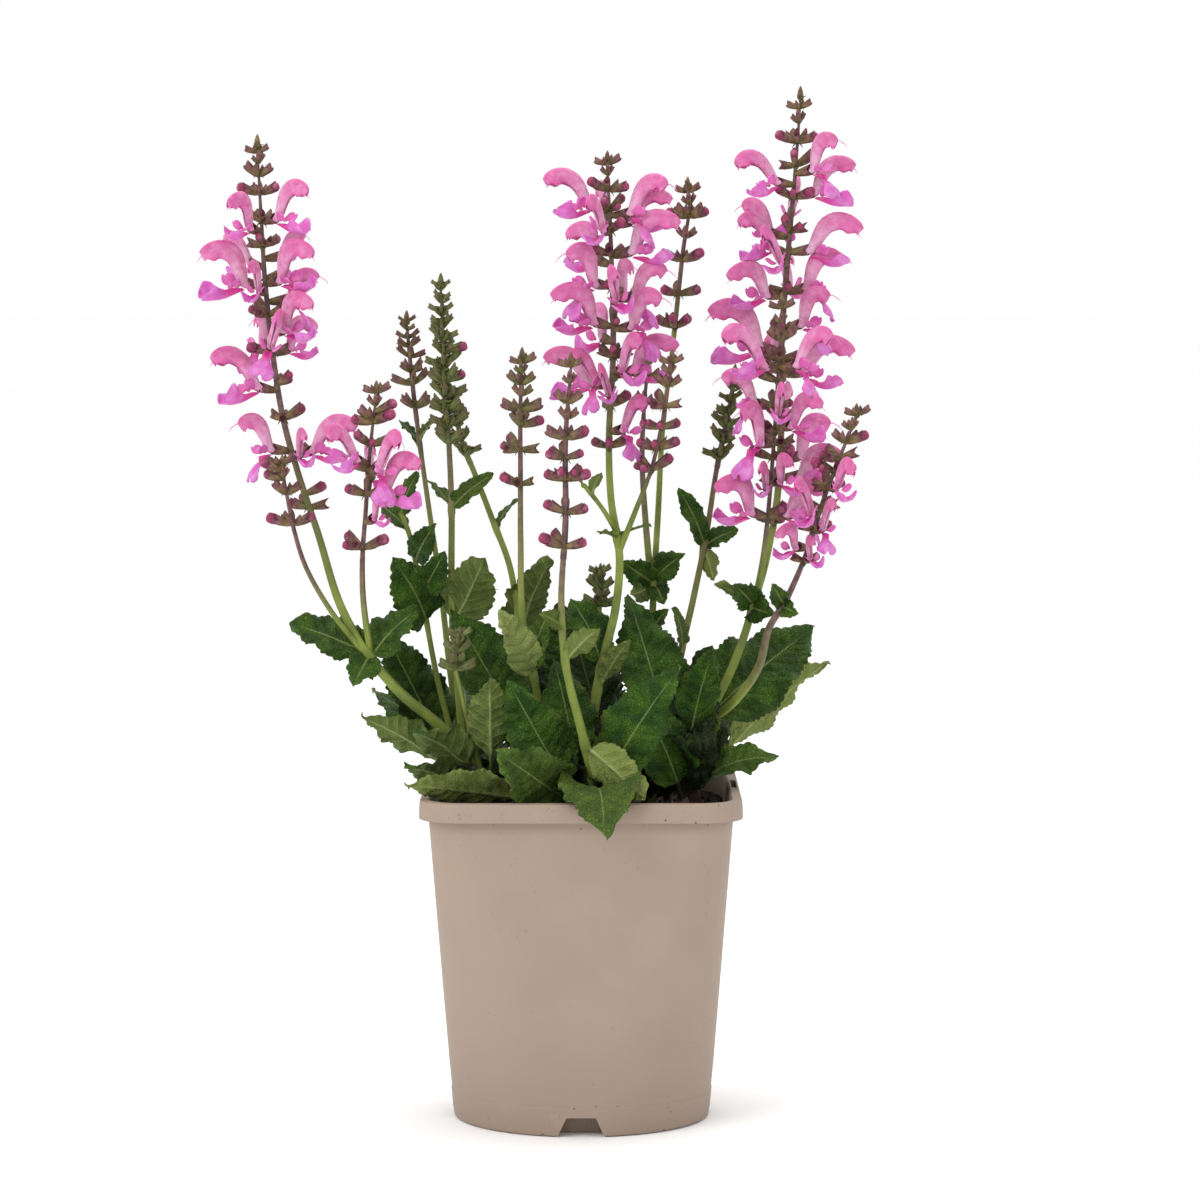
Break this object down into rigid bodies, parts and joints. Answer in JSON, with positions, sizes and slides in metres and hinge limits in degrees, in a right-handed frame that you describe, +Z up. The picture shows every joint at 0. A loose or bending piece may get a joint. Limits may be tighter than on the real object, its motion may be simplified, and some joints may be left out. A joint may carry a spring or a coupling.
{
  "type": "perennial salvia in a pot",
  "caption": "Flowering perennial sage with toothed leaves and whorled flower spikes, standing in soil in a square-rimmed plastic nursery pot.",
  "frame": {"origin": "middle of the pot's flat underside", "axes": "+Z up through the pot and the plant, -Y to the front, +X to the right seen from the front"},
  "size_m": [0.3103, 0.1915, 0.486],
  "materials": {
    "pot": "matt taupe moulded plastic",
    "soil": "damp dark peat compost",
    "stem": "fresh green four-sided stem with toothed leaves",
    "leaf": "wrinkled dark green leaf with a paler underside",
    "bloom": "soft pink corollas on brown-purple calyces",
    "calyx": "brown-purple ribbed calyces with crimson buds",
    "green_head": "dull green young flower spike"
  },
  "bodies": {
    "root": {"pot": "pot", "soil": "soil", "stem_a": "stem", "stem_b": "stem", "stem_b_leaf": "stem", "stem_c": "stem", "stem_c_back": "stem", "stem_d": "stem", "stem_e": "stem", "stem_f": "stem", "stem_g": "stem", "stem_h": "stem", "stem_i": "stem", "stem_bud_mid": "stem", "stem_bud_left": "stem", "rosette_front": "leaf", "rosette_right": "leaf", "rosette_back": "leaf", "rosette_back_right": "leaf", "head_a": "bloom", "head_a_low": "calyx", "head_a_side": "bloom", "head_b": "green_head", "head_c": "calyx", "head_c_back": "green_head", "head_d": "calyx", "head_e": "calyx", "head_f": "bloom", "head_f_right": "calyx", "head_g": "calyx", "head_g_low": "green_head", "head_h": "green_head", "head_i": "bloom", "head_i_low": "bloom", "head_j": "bloom", "head_bud_mid": "green_head", "head_bud_left": "green_head"}
  },
  "joints": []
}
